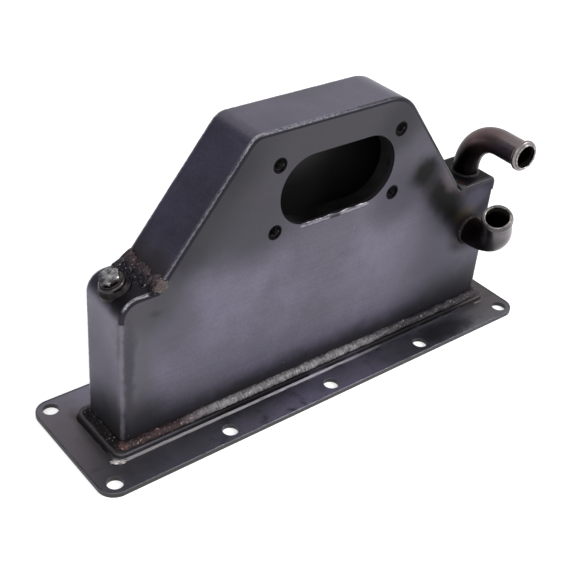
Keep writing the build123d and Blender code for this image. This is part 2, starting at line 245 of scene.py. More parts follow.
def steel(
    name, bright, dull, roughness=0.36, streak=(60, 1.5, 1.5), stains_and_shading=(), below=None, crest=None,
    waviness=0.22,
):
    """Bare steel: an uneven film of oil, rolling streaks, fine grain, and patches of heat tint and soot,
    of painted shade and of painted highlights.

    streak is how far the rolling streaks reach along X, Y and Z, in millimetres. below is (axis, limit,
    colour) of all that lies below that coordinate, in millimetres, and is matt there. crest is the colour of
    a painted highlight, uneven along its length, down the middle of a fold that turns from X to Y."""
    film_size, mottle_size, speck_size, wave_size = 75, 9, 1.7, 42
    material, tree, place = new_tree(name)
    film = add(tree, "TexNoise", {
        "Vector": place, "Scale": per_mm(film_size), "Detail": 3.0, "Roughness": 0.5,
    })
    film_mask = add(tree, "MapRange", {"Value": film, "From Min": 0.4, "From Max": 0.56})
    tint = add(tree, "Mix", {0: film_mask, MIX_A: dull, MIX_B: bright}, data_type="RGBA")
    stretched = add(tree, "Mapping", {"Vector": place, "Scale": [per_mm(s) for s in streak]})
    streaks = add(tree, "TexNoise", {"Vector": stretched, "Scale": 1.0, "Detail": 4.0})
    mottle = add(tree, "TexNoise", {
        "Vector": place, "Scale": per_mm(mottle_size), "Detail": 7.0, "Roughness": 0.7,
    })
    specks = add(tree, "TexNoise", {"Vector": place, "Scale": per_mm(speck_size), "Detail": 3.0})
    for pattern, low, high, share in (
        (streaks, 0.7, 1.3, 0.3), (mottle, 0.5, 1.5, 0.4), (specks, 0.3, 1.7, 0.3),
    ):
        grey = add(tree, "MapRange", {"Value": pattern, "To Min": low, "To Max": high})
        tint = add(tree, "Mix", {0: share, MIX_A: tint, MIX_B: grey}, data_type="RGBA", blend_type="MULTIPLY")
    tint, soiled_and_shaded = stained_and_shaded(tree, wobbled(tree, place, size=11, amount=9), tint, stains_and_shading)
    # The middle of a fold gets a painted highlight, uneven along its length
    if crest:
        facing = add(tree, "NewGeometry")
        parts = add(tree, "SeparateXYZ", {0: facing.outputs["Normal"]})
        across = add(tree, "Math", {0: parts.outputs["X"], 1: parts.outputs["Y"]}, operation="MULTIPLY")
        uneven = add(tree, "Math", {0: mottle, 1: 0.5, 2: across}, operation="MULTIPLY_ADD")
        fold_highlight = add(tree, "MapRange", {
            "Value": uneven, "From Min": 0.6, "From Max": 0.8, "To Max": 0.7,
        }, interpolation_type="SMOOTHSTEP")
        tint = add(tree, "Mix", {0: fold_highlight, MIX_A: tint, MIX_B: crest}, data_type="RGBA")
    shine = 1.0
    if below:
        axis, limit, paint = below
        split = add(tree, "SeparateXYZ", {0: place})
        covered = add(tree, "Math", {0: split.outputs[axis], 1: limit * MM}, operation="LESS_THAN")
        tint = add(tree, "Mix", {0: covered, MIX_A: tint, MIX_B: paint}, data_type="RGBA")
        shine = add(tree, "Math", {0: 1.0, 1: covered}, operation="SUBTRACT")
    dullness = add(tree, "MapRange", {
        "Value": mottle, "To Min": roughness - 0.07, "To Max": roughness + 0.09,
    })
    if soiled_and_shaded is not None:
        dullness = add(tree, "Math", {0: soiled_and_shaded, 1: 0.2, 2: dullness}, operation="MULTIPLY_ADD")
    rounded = add(tree, "Bevel", {"Radius": EDGE * MM}, samples=6)
    wave = add(tree, "TexNoise", {"Vector": place, "Scale": per_mm(wave_size), "Detail": 1.0})
    buckle = add(tree, "Bump", {
        "Height": wave, "Strength": waviness, "Distance": 1.6 * MM, "Normal": rounded,
    })
    grain = add(tree, "TexNoise", {"Vector": stretched, "Scale": 1.0, "Detail": 6.0})
    return metal(
        material, tree, tint, dullness, grain, strength=0.12, depth=0.15, shine=shine, normal=buckle,
    )


def weld_metal(name, bead, stains_and_shading=(), roughness=0.45, glints=0.5, grain=(3, 3, 3)):
    """Weld metal as laid: crusty and grey, with soot or a brown film by place, and fine light specks that
    paint glints.

    grain is how far its light and dark marks reach along X, Y and Z, in millimetres."""
    speck_size, crust_size = 1.3, 1.2
    material, tree, place = new_tree(name)
    stretched = add(tree, "Mapping", {"Vector": place, "Scale": [per_mm(g) for g in grain]})
    film = add(tree, "TexNoise", {"Vector": stretched, "Scale": 1.0, "Detail": 5.0, "Roughness": 0.7})
    film_grey = add(tree, "MapRange", {
        "Value": film, "From Min": 0.3, "From Max": 0.7, "To Min": 0.1, "To Max": 1.9,
    })
    tint = add(tree, "Mix", {0: 0.85, MIX_A: bead, MIX_B: film_grey}, data_type="RGBA", blend_type="MULTIPLY")
    tint, _ = stained_and_shaded(tree, wobbled(tree, place, size=5, amount=9), tint, stains_and_shading)
    specks = add(tree, "TexNoise", {
        "Vector": place, "Scale": per_mm(speck_size), "Detail": 3.0, "Roughness": 0.7,
    })
    # Fine light specks: painted glints
    glint_mask = add(tree, "MapRange", {
        "Value": specks, "From Min": 0.6, "From Max": 0.72, "To Max": glints,
    })
    tint = add(tree, "Mix", {0: glint_mask, MIX_A: tint, MIX_B: "#c4b4b4"}, data_type="RGBA")
    crust = add(tree, "TexNoise", {
        "Vector": place, "Scale": per_mm(crust_size), "Detail": 5.0, "Roughness": 0.7,
    })
    # A little of the crust is oxide, which doesn't mirror
    return metal(material, tree, tint, roughness, crust, strength=0.8, depth=0.45, shine=0.9)


def ground_steel(name, bright, dark, stains_and_shading=(), roughness=0.3, stroke=3.2):
    """Steel worked with a grinder or a lathe tool: bright, with darker strokes left in it. Some small pieces
    wear it as painted highlights, others as painted shade.

    stroke is the width of a stroke, in millimetres."""
    material, tree, place = new_tree(name)
    strokes = add(tree, "TexNoise", {
        "Vector": place, "Scale": per_mm(stroke), "Detail": 5.0, "Roughness": 0.6,
    })
    mask = add(tree, "MapRange", {"Value": strokes, "From Min": 0.3, "From Max": 0.62})
    tint = add(tree, "Mix", {0: mask, MIX_A: dark, MIX_B: bright}, data_type="RGBA")
    tint, _ = stained_and_shaded(tree, wobbled(tree, place, size=6, amount=5), tint, stains_and_shading)
    dullness = add(tree, "MapRange", {
        "Value": strokes, "To Min": roughness + 0.12, "To Max": roughness - 0.08,
    })
    rounded = add(tree, "Bevel", {"Radius": EDGE * MM}, samples=6)
    return metal(material, tree, tint, dullness, strokes, strength=0.4, depth=0.2, normal=rounded)


def ground_seam(name, ridge, sheet, shade, ridge_light=(), stains_and_shading=()):
    """Seam weld ground to a radius: sheet on the strip's side, a bright ridge of ground metal with a painted
    highlight, and painted shade on the panel's side.

    The first list of patches changes the ridge alone, painting its highlight brighter in some places and
    dimmer in others; the second list lies over everything."""
    stroke, roughness = 2.2, 0.34
    material, tree, place = new_tree(name)
    ridge, _ = stained_and_shaded(tree, wobbled(tree, place, size=11, amount=9), ridge, ridge_light)
    facing = add(tree, "NewGeometry")
    split = add(tree, "SeparateXYZ", {0: facing.outputs["Normal"]})
    panelward = add(tree, "Math", {0: split.outputs["Y"]}, operation="ABSOLUTE")
    strokes = add(tree, "TexNoise", {
        "Vector": place, "Scale": per_mm(stroke), "Detail": 5.0, "Roughness": 0.65,
    })
    broken = add(tree, "MapRange", {
        "Value": strokes, "From Min": 0.35, "From Max": 0.65, "To Min": 0.3, "To Max": 1.5,
    })
    ridge = add(tree, "Mix", {0: 1.0, MIX_A: ridge, MIX_B: broken}, data_type="RGBA", blend_type="MULTIPLY")
    turned = add(tree, "Math", {0: strokes, 1: 1.0, 2: panelward}, operation="MULTIPLY_ADD")
    crest = add(tree, "MapRange", {
        "Value": turned, "From Min": 0.52, "From Max": 0.66,
    }, interpolation_type="SMOOTHSTEP")
    # Painted shade on the part of the seam that faces the way the panel does
    panel_facing_shade = add(tree, "MapRange", {
        "Value": turned, "From Min": 1.05, "From Max": 1.25,
    }, interpolation_type="SMOOTHSTEP")
    tint = add(tree, "Mix", {0: crest, MIX_A: sheet, MIX_B: ridge}, data_type="RGBA")
    tint = add(tree, "Mix", {0: panel_facing_shade, MIX_A: tint, MIX_B: shade}, data_type="RGBA")
    tint, _ = stained_and_shaded(tree, wobbled(tree, place, size=6, amount=5), tint, stains_and_shading)
    return metal(material, tree, tint, roughness, strokes, strength=0.5, depth=0.25)


def dress(names, material):
    """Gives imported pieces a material, through the slots of their objects."""
    for name in names:
        for slot in frame["nodes"][name].material_slots:
            slot.material = material


def placed(mesh, name, material):
    """Turns a bmesh into an object of the scene that wears the material."""
    data = bpy.data.meshes.new(name)
    mesh.to_mesh(data)
    mesh.free()
    data.materials.append(material)
    thing = bpy.data.objects.new(name, data)
    bpy.context.scene.collection.objects.link(thing)
    return thing


def finished(mesh, name, material, slot, *nodes):
    """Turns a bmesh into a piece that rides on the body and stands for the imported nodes."""
    same_place, sliver = 0.002 * MM, 0.001 * MM
    bmesh.ops.remove_doubles(mesh, verts=mesh.verts, dist=same_place)
    bmesh.ops.dissolve_degenerate(mesh, edges=mesh.edges, dist=sliver)
    bmesh.ops.recalc_face_normals(mesh, faces=mesh.faces)
    for face in mesh.faces:
        face.smooth = True
    piece = placed(mesh, name, material)
    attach(piece, BODY)
    if nodes:
        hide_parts(*nodes)


def rounded_route(corners, radii, step):
    """Places and headings along a flat line whose inner corners are arcs, no further apart than the step."""
    points = [Vector(c) for c in corners]
    samples = []
    here = points[0]
    for before, corner, after, radius in zip(points, points[1:], points[2:], radii):
        arriving = (corner - before).normalized()
        leaving = (after - corner).normalized()
        turn = arriving.angle_signed(leaving)
        set_back = radius * math.tan(abs(turn) / 2)
        samples += straight(here, corner - arriving * set_back, step)
        side = math.copysign(1, turn)
        normal = Vector((arriving.y, -arriving.x)) * side
        centre = corner - arriving * set_back + normal * radius
        pieces = max(2, math.ceil(abs(turn) * radius / step))
        for i in range(pieces):
            swept = Matrix.Rotation(-turn * i / pieces, 2)
            samples.append((centre - swept @ (normal * radius), swept @ arriving))
        here = corner + leaving * set_back
    return samples + straight(here, points[-1], step) + [(points[-1], (points[-1] - here).normalized())]


def straight(start, end, step):
    """Places and headings along a straight run, without its end."""
    pieces = max(1, math.ceil((end - start).length / step))
    heading = (end - start).normalized()
    return [(start.lerp(end, i / pieces), heading) for i in range(pieces)]


def level_loop(left, right, front, rear, radii, step, height, overlap=2 * MM, sunk=0.0):
    """Frames for a bead round a level rectangle with rounded corners, its root sunk into what it lies on.

    It starts in the middle of the rear and ends a little past its start."""
    start = (left + right) / 2
    end = start + overlap
    corners = [(start, rear), (right, rear), (right, front), (left, front), (left, rear), (end, rear)]
    frames = []
    for point, heading in rounded_route(corners, radii, step):
        out = Vector((-heading.y, heading.x, 0))
        frames.append((Vector((point.x, point.y, height)) - (UP + out) * sunk, UP, out))
    return frames


def lay_bead(
    path, rise, reach, fullness=2.0, pitch=0.0, ripple=0.0, lumps=0.0, taper=0.0, seed=0.0, columns=12,
):
    """A new mesh of weld metal along a path of (corner, up, out) frames.

    Its section is a quarter of a superellipse: fullness 1 is a straight chamfer, 2 is round, 4 nearly square.
    Ripples are crescents one pitch apart, lumps are uneven swellings, and the ends taper to nothing."""
    trail, lump_length, rows = 0.35, 6 * MM, len(path) - 1
    mesh = bmesh.new()
    bmesh.ops.create_grid(mesh, x_segments=rows, y_segments=columns, size=1.0)
    along = [0.0]
    for (a, _, _), (b, _, _) in zip(path, path[1:]):
        along.append(along[-1] + (b - a).length)
    for vertex in mesh.verts:
        row = round((vertex.co.x + 1) / 2 * rows)
        column = round((vertex.co.y + 1) / 2 * columns)
        corner, up, out = path[row]
        if column in (0, columns):
            vertex.co = corner
            continue
        t = (column - 1) / (columns - 2) * math.pi / 2
        up_share = max(math.cos(t), 0) ** (2 / fullness)
        out_share = max(math.sin(t), 0) ** (2 / fullness)
        swell = 1.0
        if pitch:
            phase = (along[row] + trail * pitch * math.cos(2 * t)) / pitch
            swell += ripple * (abs(math.sin(math.pi * phase)) - 0.5) * math.sin(2 * t)
        spot = Vector((along[row] / lump_length, seed, t * 0.8))
        swell += lumps * noise.noise(spot) + 0.5 * lumps * noise.noise(spot * 3.1)
        if taper:
            from_end = min(along[row], along[-1] - along[row])
            swell *= math.sqrt(min(1.0, from_end / taper))
        vertex.co = corner + (up * rise * up_share + out * reach * out_share) * swell
    return mesh


def drop(size, place, turn, unevenness, grain, seed):
    """Uneven lump, of weld metal and of a painted highlight: a ball made uneven, brought to its half sizes,
    turned about Z and put in place.
    """
    mesh = bmesh.new()
    bmesh.ops.create_icosphere(mesh, subdivisions=4, radius=1.0)
    for vertex in mesh.verts:
        vertex.co *= 1 + unevenness * noise.noise(vertex.co * grain + Vector((seed, 0, 0)))
    bmesh.ops.scale(mesh, verts=mesh.verts, vec=[s * MM for s in size])
    spin = Matrix.Rotation(math.radians(turn), 3, "Z")
    bmesh.ops.rotate(mesh, verts=mesh.verts, cent=(0, 0, 0), matrix=spin)
    bmesh.ops.translate(mesh, verts=mesh.verts, vec=place)
    return mesh


def turn_ring(mesh, points, centre, axis, steps):
    """Turns a closed section once round an axis."""
    section = [mesh.verts.new(point) for point in points]
    edges = [mesh.edges.new(pair) for pair in zip(section, section[1:] + section[:1])]
    bmesh.ops.spin(
        mesh, geom=edges, cent=centre, axis=axis, angle=2 * math.pi, steps=steps, use_merge=True,
    )


def port_holes(inward):
    """Middles of the four tapped holes round the port, this far behind the front of the panel."""
    return [
        Vector(((PORT_X + x) * MM, FRONT + inward, (PORT_Z + z) * MM))
        for x in (-STUD_X, STUD_X) for z in (-STUD_Z, STUD_Z)
    ]


def ring_frames(centre, axis, radius, step):
    """Frames for a bead round a rod that stands on a face; the ends overlap."""
    axis = axis.normalized()
    side = axis.orthogonal().normalized()
    count, overlap = math.ceil(2 * math.pi * radius / step), 4
    frames = []
    for i in range(count + overlap):
        out = Matrix.Rotation(2 * math.pi * i / count, 3, axis) @ side
        frames.append((centre + out * radius, axis, out))
    return frames


class OBJECT_OT_cooler_panels(bpy.types.Operator):
    """Finishes the folded panels, strips and caps of the body"""
    bl_idname = "object.cooler_panels"
    bl_label = "Panels"

    def execute(self, context):
        look = context.scene.cooler_steel
        smoke = look.soot
        # Grey-violet and softly mirroring, with painted shade towards the top, under the left slope and along
        # the foot, blackened with soot beside the welds, and a painted highlight down the left fold
        front = steel("Cold-rolled sheet, front", look.sheet, look.sheet_grey, stains_and_shading=[
            # The next two paint shade: darker towards the top, and a darker band under the left slope
            ((-10, -19, 192), (250, 60, 98), 0, "#444346", 0.9),
            ((-92, -19, 143), (84, 30, 34), -52, "#353437", 0.9),
            ((125, -19, 70), (85, 60, 110), 0, "#504e57", 0.8),
            ((-134, -19, 62), (16, 30, 90), 0, "#5b5a5e", 0.7),
            ((-60, -19, 130), (62, 30, 42), 0, "#454448", 0.8),
            ((-112, -19, 84), (30, 30, 40), 0, "#525157", 0.6),
            ((54, -19, 116), (32, 30, 34), 0, "#4a4850", 0.7),
            ((48, -19, 166), (26, 30, 26), 0, "#39383b", 0.7),
            ((134, -19, 93), (36, 30, 34), 0, "#2b2832", 1.2),
            ((119, -19, 102), (7, 30, 9), 0, "#5d4a48", 0.6),
            ((-146, 4, 50), (12, 30, 62), 0, "#56535f", 0.7),
            ((-126, -19, 100), (30, 30, 26), 0, "#4a494c", 0.7),
            # Painted shade of a small dent
            ((-121, -19, 95), (6, 30, 3), -10, "#39393b", 0.5),
            # The next paints the dark reflection of the flange along the foot of the panel
            ((0, -19, 9), (260, 60, 21), 0, "#2c2b2e", 0.9),
            ((135, -19, 12), (85, 60, 40), 0, "#29282a", 0.8),
            ((78, -19, 127), (19, 30, 16), 0, "#1a1917", 0.95),
            ((102, -19, 100), (48, 30, 17), 48, "#1d1b1a", 0.95),
            ((125, -19, 82), (14, 30, 11), 0, look.straw, 0.85),
            ((131, -19, 66), (26, 30, 20), 0, smoke, 0.95),
            ((106, -19, 113), (17, 30, 11), 48, "#6d6366", 0.6),
            ((132, -19, 92), (20, 30, 12), 0, "#52505f", 0.6),
            ((-146, -10, 10), (12, 44, 44), 0, "#2b2a2d", 0.95),
            ((-132, -19, 14), (30, 30, 34), 0, "#333235", 0.8),
            # Painted shade beside the painted highlight of the fold
            ((-139, -19, 60), (6, 30, 62), 0, "#454348", 0.8),
        # The crest colour is a painted highlight down the left fold
        ], crest="#747079")
        dress(["front_panel"], front)
        # The same sheet behind, painted black on its inner side, which the port lets one see, as the shade
        # inside the body
        rear = steel("Cold-rolled sheet, rear", look.sheet, look.sheet_grey, stains_and_shading=[
            ((-120, 19, 104), (24, 30, 16), 0, smoke, 0.7),
            ((114, 19, 102), (24, 30, 16), 0, smoke, 0.7),
            # Painted shade along the foot, as on the front
            ((0, 19, 10), (260, 60, 27), 0, "#2c2b2e", 0.9),
            ((152, 0, 10), (20, 60, 34), 0, "#2b2a2d", 0.8),
        ], below=("Y", 17.2, "#191718"))
        dress(["rear_panel"], rear)
        # Violet sheen across the fold lines, browned and sooty on the shoulders
        strip = steel("Cold-rolled strip", "#5f5b6b", "#55525e", streak=(1.5, 60, 1.5), stains_and_shading=[
            ((-117, 0, 110), (24, 60, 22), 0, "#3b3836", 0.8),
            ((-132, 4, 108), (26, 18, 14), 0, "#242226", 0.9),
            ((112, 0, 106), (24, 60, 20), 0, smoke, 0.7),
            ((-128, 0, 106), (34, 40, 12), 0, "#38363d", 0.8),
            ((137, 0, 104), (34, 60, 18), 0, "#19181b", 1.1),
            ((-136, -10, 104), (22, 24, 15), 0, "#232125", 1.1),
            ((121, -14, 105), (8, 8, 8), 0, "#5d4641", 0.6),
        ])
        dress(["hood_strip", "left_shoulder_cap", "right_shoulder_cap"], strip)
        return {"FINISHED"}


class OBJECT_OT_cooler_flange(bpy.types.Operator):
    """Finishes the pressed base flange"""
    bl_idname = "object.cooler_flange"
    bl_label = "Base flange"

    def execute(self, context):
        look = context.scene.cooler_steel
        # Satin violet-grey with a dark cut edge that is black as painted shade in the bolt holes, and painted
        # shade in the root and on the riser of the dish
        flange = steel("Pressed steel flange", look.flange, look.flange_grey, roughness=0.34, stains_and_shading=[
            # The next three paint shade over the riser and the lip of the dish, deepest on the left end
            ((0, 0, 9.5), (400, 400, 6.4), 0, "#100f11", 2.0),
            ((0, -23, 6), (300, 5, 6), 0, "#1d1c1f", 1.6),
            ((-150, -4, 6), (8, 52, 9), 0, "#1d1c1f", 1.6),
            ((-160, 0, 4), (46, 70, 20), 0, "#5b5659", 0.8),
            ((-130, -34, 4), (70, 22, 20), 0, "#55545a", 0.7),
            ((20, -36, 4), (60, 16, 20), 0, "#5c5a61", 0.5),
            ((104, -36, 4), (46, 15, 20), 0, "#29292c", 0.9),
            ((60, -36, 4), (30, 15, 20), 0, "#4f4e52", 0.7),
            ((154, -10, 4), (38, 56, 20), 0, "#4f4a4b", 0.85),
        # Below its top the sheet is black and matt: a dark sheared edge, and painted shade in the bolt holes
        ], below=("Z", 2.9, "#0d0d0e"))
        dress(["base_flange"], flange)
        return {"FINISHED"}


class OBJECT_OT_cooler_core(bpy.types.Operator):
    """Finishes the port plate and the core inside the body"""
    bl_idname = "object.cooler_core"
    bl_label = "Port plate and core"

    def execute(self, context):
        look = context.scene.cooler_steel
        # Dull and nearly black, with the skin that hot rolling leaves
        dress(["port_plate"], steel("Hot-rolled plate", look.plate, look.soot, roughness=0.5))
        # Even satin grey, with faint lines along its length from the die
        tube_metal = steel("Drawn flat tube", look.core, look.sheet_grey, roughness=0.45)
        core = ["left_header_plate", "right_header_plate", "header_divider"]
        core += [name for name in frame["nodes"] if "_tube_" in name]
        dress(core, tube_metal)
        # Duller grey, with faint upright lines
        fin_metal = steel("Folded fin sheet", look.core, look.sheet_grey, roughness=0.5, streak=(3, 3, 20))
        dress([name for name in frame["nodes"] if name.startswith("fin_strip")], fin_metal)
        return {"FINISHED"}


class OBJECT_OT_cooler_pipes(bpy.types.Operator):
    """Finishes the bent hose pipes, brown from heat near their roots"""
    bl_idname = "object.cooler_pipes"
    bl_label = "Hose pipes"

    def execute(self, context):
        look = context.scene.cooler_steel
        # Red-brown temper colour that darkens to black at the root, with a painted highlight on the bead at
        # the mouth
        bare, hot = look.tube, look.tube_hot
        upper = steel("Drawn tube, heat tinted", bare, hot, roughness=0.2, streak=(1.2, 40, 40), stains_and_shading=[
            ((134, -8, 134), (46, 40, 40), 0, hot, 0.85),
            ((137, 0, 108), (30, 34, 30), 0, "#151113", 1.1),
            ((137, -6, 118), (30, 30, 18), 0, "#1b1517", 0.8),
            # Painted highlight on the bead at the mouth
            ((134, -51, 137), (16, 6, 16), 0, "#8d8887", 1.0),
        ], waviness=0.08)
        dress(["upper_hose_pipe"], upper)
        # Black-brown root, satin grey towards the mouth, with a painted highlight round the mouth
        lower = steel("Drawn tube, sooty", "#625e60", "#3f3c3d", roughness=0.27, streak=(2, 20, 20), stains_and_shading=[
            ((131, -30, 64), (34, 30, 32), 0, "#1d1817", 1.6),
            ((112, -56, 76), (22, 20, 14), 0, "#403d3d", 0.8),
            # Painted highlight round the mouth
            ((115.5, -52.5, 100), (20, 20, 7), 0, "#8d8986", 1.0),
        ], waviness=0.08)
        dress(["lower_hose_pipe"], lower)
        return {"FINISHED"}


class OBJECT_OT_cooler_vent(bpy.types.Operator):
    """Finishes the vent boss, its washer and its plug"""
    bl_idname = "object.cooler_vent"
    bl_label = "Vent"

    def execute(self, context):
        look = context.scene.cooler_steel
        # Dark and greasy from the weld smoke, with a lighter turned edge
        boss = ground_steel("Turned steel boss", "#504d50", "#1a1819", roughness=0.28, stroke=6)
        dress(["vent_boss"], boss)
        # Brown-grey copper with brighter worn patches
        washer = ground_steel("Annealed copper washer", look.washer, "#2b2422", roughness=0.35)
        dress(["vent_washer"], washer)
        # Bright plating in patches on the top, its flanks dark
        low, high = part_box("vent_plug")
        flanks = [(a + b) / 2 / MM for a, b in zip(low, high)]
        flanks[2] = high[2] / MM - PLUG_FLANK
        plug = ground_steel("Plated steel plug", look.plug, "#1f1d20", [
            (flanks, (14, 14, 4), 0, "#232124", 1.2),
        ], roughness=0.22, stroke=4)
        dress(["vent_plug"], plug)
        return {"FINISHED"}


class OBJECT_OT_cooler_base_weld(bpy.types.Operator):
    """Lays the rippled bead round the foot of the body"""
    bl_idname = "object.cooler_base_weld"
    bl_label = "Base weld"

    def execute(self, context):
        look, size = context.scene.cooler_steel, context.scene.cooler_welds
        seam_corner, fold_corner = 1.8 * MM, 4.5 * MM
        radii = [seam_corner, fold_corner, fold_corner, seam_corner]
        path = level_loop(
            LEFT, RIGHT, FRONT, REAR, radii, step=0.4 * MM, height=DISH_TOP, overlap=6 * MM, sunk=0.2 * MM,
        )
        mesh = lay_bead(
            path, size.base_rise, size.base_reach, fullness=1.6,
            pitch=size.base_pitch, ripple=0.1, lumps=0.14, taper=3 * MM, seed=1.5,
        )
        # Grey with fine cross ripples, brown at its left end and dulled by smoke to the right
        bead = weld_metal("Weld bead, as laid", look.bead, [
            ((-122, -19, 9), (42, 30, 30), 0, look.bead_hot, 1.1),
            ((-150, 4, 9), (22, 44, 30), 0, "#1c191a", 1.6),
            ((-145, -21, 9), (4, 6, 9), 0, "#4d3634", 0.9),
            ((20, -20, 13), (200, 60, 4), 0, "#201f21", 0.4),
            ((125, -20, 9), (105, 60, 30), 0, "#2b292c", 1.2),
        ], glints=0.6, grain=(0.8, 5, 5))
        finished(mesh, "base_weld_bead", bead, "weld_metal", "base_weld")
        return {"FINISHED"}


class OBJECT_OT_cooler_foot_welds(bpy.types.Operator):
    """Lays the lumpy beads in the corners between the shoulders and the hood"""
    bl_idname = "object.cooler_foot_welds"
    bl_label = "Foot welds"

    def execute(self, context):
        look, size = context.scene.cooler_steel, context.scene.cooler_welds
        # Red-brown with light specks that paint glints along its upper edge, blue-black where it runs out on
        # the shoulder
        brown = weld_metal("Weld bead, browned", "#55494c", [
            ((-121, 6, 111), (30, 30, 30), 0, look.bead_hot, 0.55),
            ((-125, 0, 107), (11, 60, 9), 0, "#1d1b22", 1.2),
        ], roughness=0.4, glints=0.9, grain=(6, 1.1, 6))
        # A grey drop with a brown cast towards the bead
        cast = weld_metal("Weld blob, browned", "#565350", [
            ((LEFT_FOOT / MM, FRONT / MM, LEFT_SHOULDER / MM + 5), (7, 9, 6), 0, "#4c3f40", 0.8),
        ], glints=0.6, grain=(1.5, 1.5, 1.5))
        # Nearly black, so that it sinks into the soot round it
        smoked = weld_metal("Weld bead, smoked", "#393436", glints=0.2)
        for side, foot, shoulder, crown in (
            ("left", LEFT_FOOT, LEFT_SHOULDER, CROWN_LEFT * MM),
            ("right", RIGHT_FOOT, RIGHT_SHOULDER, CROWN_RIGHT * MM),
        ):
            slope = Vector((crown - foot, 0, CROWN - shoulder)).normalized()
            flat = Vector((-math.copysign(1, slope.x), 0, 0))
            over, sunk, rear_swell, count = 1.0 * MM, 0.3 * MM, 0.55, 110
            path = []
            for i in range(count + 1):
                y = REAR + over + (FRONT - REAR - 2 * over) * i / count
                corner = Vector((foot, y, shoulder)) - (flat + slope) * sunk
                swell = 1 + rear_swell * max(0, y / REAR)
                path.append((corner, slope * swell, flat * swell))
            mesh = lay_bead(
                path, size.foot_leg, 0.75 * size.foot_leg, fullness=1.25,
                pitch=2.6 * MM, ripple=0.08, lumps=0.5, taper=2.5 * MM, seed=len(side),
            )
            skin = brown if side == "left" else smoked
            finished(mesh, f"{side}_foot_bead", skin, "weld_metal", f"{side}_foot_weld")
            if side == "left":
                place = (foot + 2.5 * MM, FRONT + 0.3 * MM, shoulder + 2.5 * MM)
                blob = drop((4.6, 1.5, 4.2), place, turn=0, unevenness=0.25, grain=1.7, seed=4)
                finished(blob, "left_foot_blob", cast, "weld_metal")
        return {"FINISHED"}


class OBJECT_OT_cooler_seams(bpy.types.Operator):
    """Finishes the ground seams along the edges of the panels"""
    bl_idname = "object.cooler_seams"
    bl_label = "Ground seams"

    def execute(self, context):
        look = context.scene.cooler_steel
        # A broken bright line where the grinder cut into the weld, made brighter and dimmer by place as a
        # painted highlight, with painted shade beside it
        ground = ground_seam("Ground weld seam", look.ground, look.sheet, "#2b2a30", ridge_light=[
            ((-92, -19, 143), (84, 30, 34), -52, "#66646b", 1.2),
            ((-20, -19, 186), (64, 30, 12), 0, "#737178", 1.2),
            ((46, -19, 186), (64, 30, 30), 0, "#4c4a50", 1.2),
            ((-60, -19, 184), (12, 30, 12), 0, "#8a888e", 1.0),
        ], stains_and_shading=[
            # Painted shade over the seam on the right slope and shoulder
            ((108, 0, 130), (72, 60, 90), 0, "#38373b", 3.0),
            ((-145, -19, 97), (9, 30, 9), 0, "#2f2d33", 1.4),
        ])
        dress(["front_seam_weld", "rear_seam_weld"], ground)
        return {"FINISHED"}


class OBJECT_OT_cooler_ring_welds(bpy.types.Operator):
    """Lays the small beads round the pipes and finishes the one round the vent boss"""
    bl_idname = "object.cooler_ring_welds"
    bl_label = "Ring welds"

    def execute(self, context):
        size = context.scene.cooler_welds
        # Black with soot, only its ridges catch light
        sooty = weld_metal("Weld bead, sooty", "#1f1c1d", glints=0.12)
        for name, axis, radius in (
            ("upper_pipe", Vector((0, 0, 1)), UPPER_PIPE * MM / 2),
            ("lower_pipe", Vector((0, -1, 0)), LOWER_PIPE * MM / 2),
        ):
            low, high = (Vector(corner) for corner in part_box(f"{name}_weld"))
            middle = (low + high) / 2
            root = middle - axis * abs(axis.dot(high - low)) / 2
            sunk = 0.2 * MM
            frames = ring_frames(root - axis * sunk, axis, radius - sunk, step=0.5 * MM)
            mesh = lay_bead(
                frames, size.pipe_leg, size.pipe_leg, fullness=1.5,
                pitch=2.2 * MM, ripple=0.2, lumps=0.15, taper=1.5 * MM, seed=radius,
            )
            finished(mesh, f"{name}_bead", sooty, "weld_metal", f"{name}_weld")
        dress(["boss_weld"], sooty)
        return {"FINISHED"}


